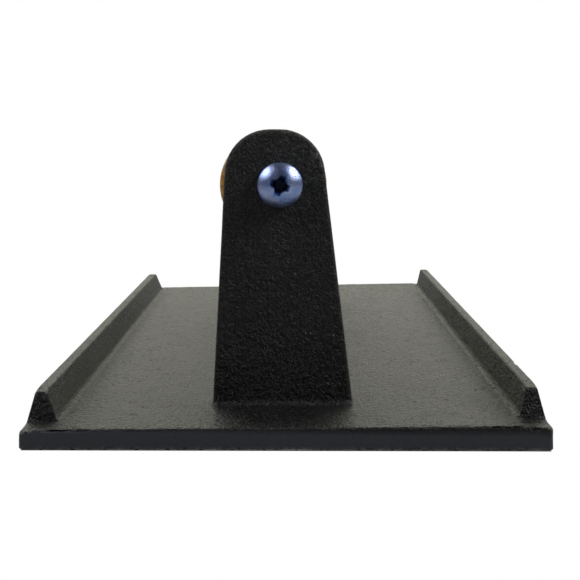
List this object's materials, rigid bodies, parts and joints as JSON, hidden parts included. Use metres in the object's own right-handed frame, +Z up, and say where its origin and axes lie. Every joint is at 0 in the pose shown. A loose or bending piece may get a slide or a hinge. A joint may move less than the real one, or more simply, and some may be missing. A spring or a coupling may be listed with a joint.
{
  "type": "grill press",
  "caption": "Rectangular cast-iron grill press: flat grooved sole, a rail along each long side, and a wooden grip on a long bolt between two tapered posts.",
  "frame": {"origin": "middle of the plate's footprint, on the flat lands of the sole that press the food", "axes": "+Z up, +Y along the long side and the grip, towards the post with the nut; the bolt's head faces -Y; +X across the plate"},
  "size_m": [0.108, 0.216, 0.0641],
  "materials": {
    "iron": "seasoned black sand casting, satin and finely pebbled",
    "wood": "golden-brown clear lacquer",
    "zinc": "bright zinc with a blue passivation"
  },
  "bodies": {
    "base": {"base_casting": "iron", "tie_bolt": "zinc", "flat_washer": "zinc", "lock_washer": "zinc", "hex_nut": "zinc"},
    "grip": {"wood_grip": "wood"}
  },
  "joints": [
    {"name": "grip_spin", "type": "hinge", "parent": "base", "child": "grip", "pos_m": [-0.00298, 0, 0.052], "axis": [0, 1, 0], "continuous": true}
  ]
}
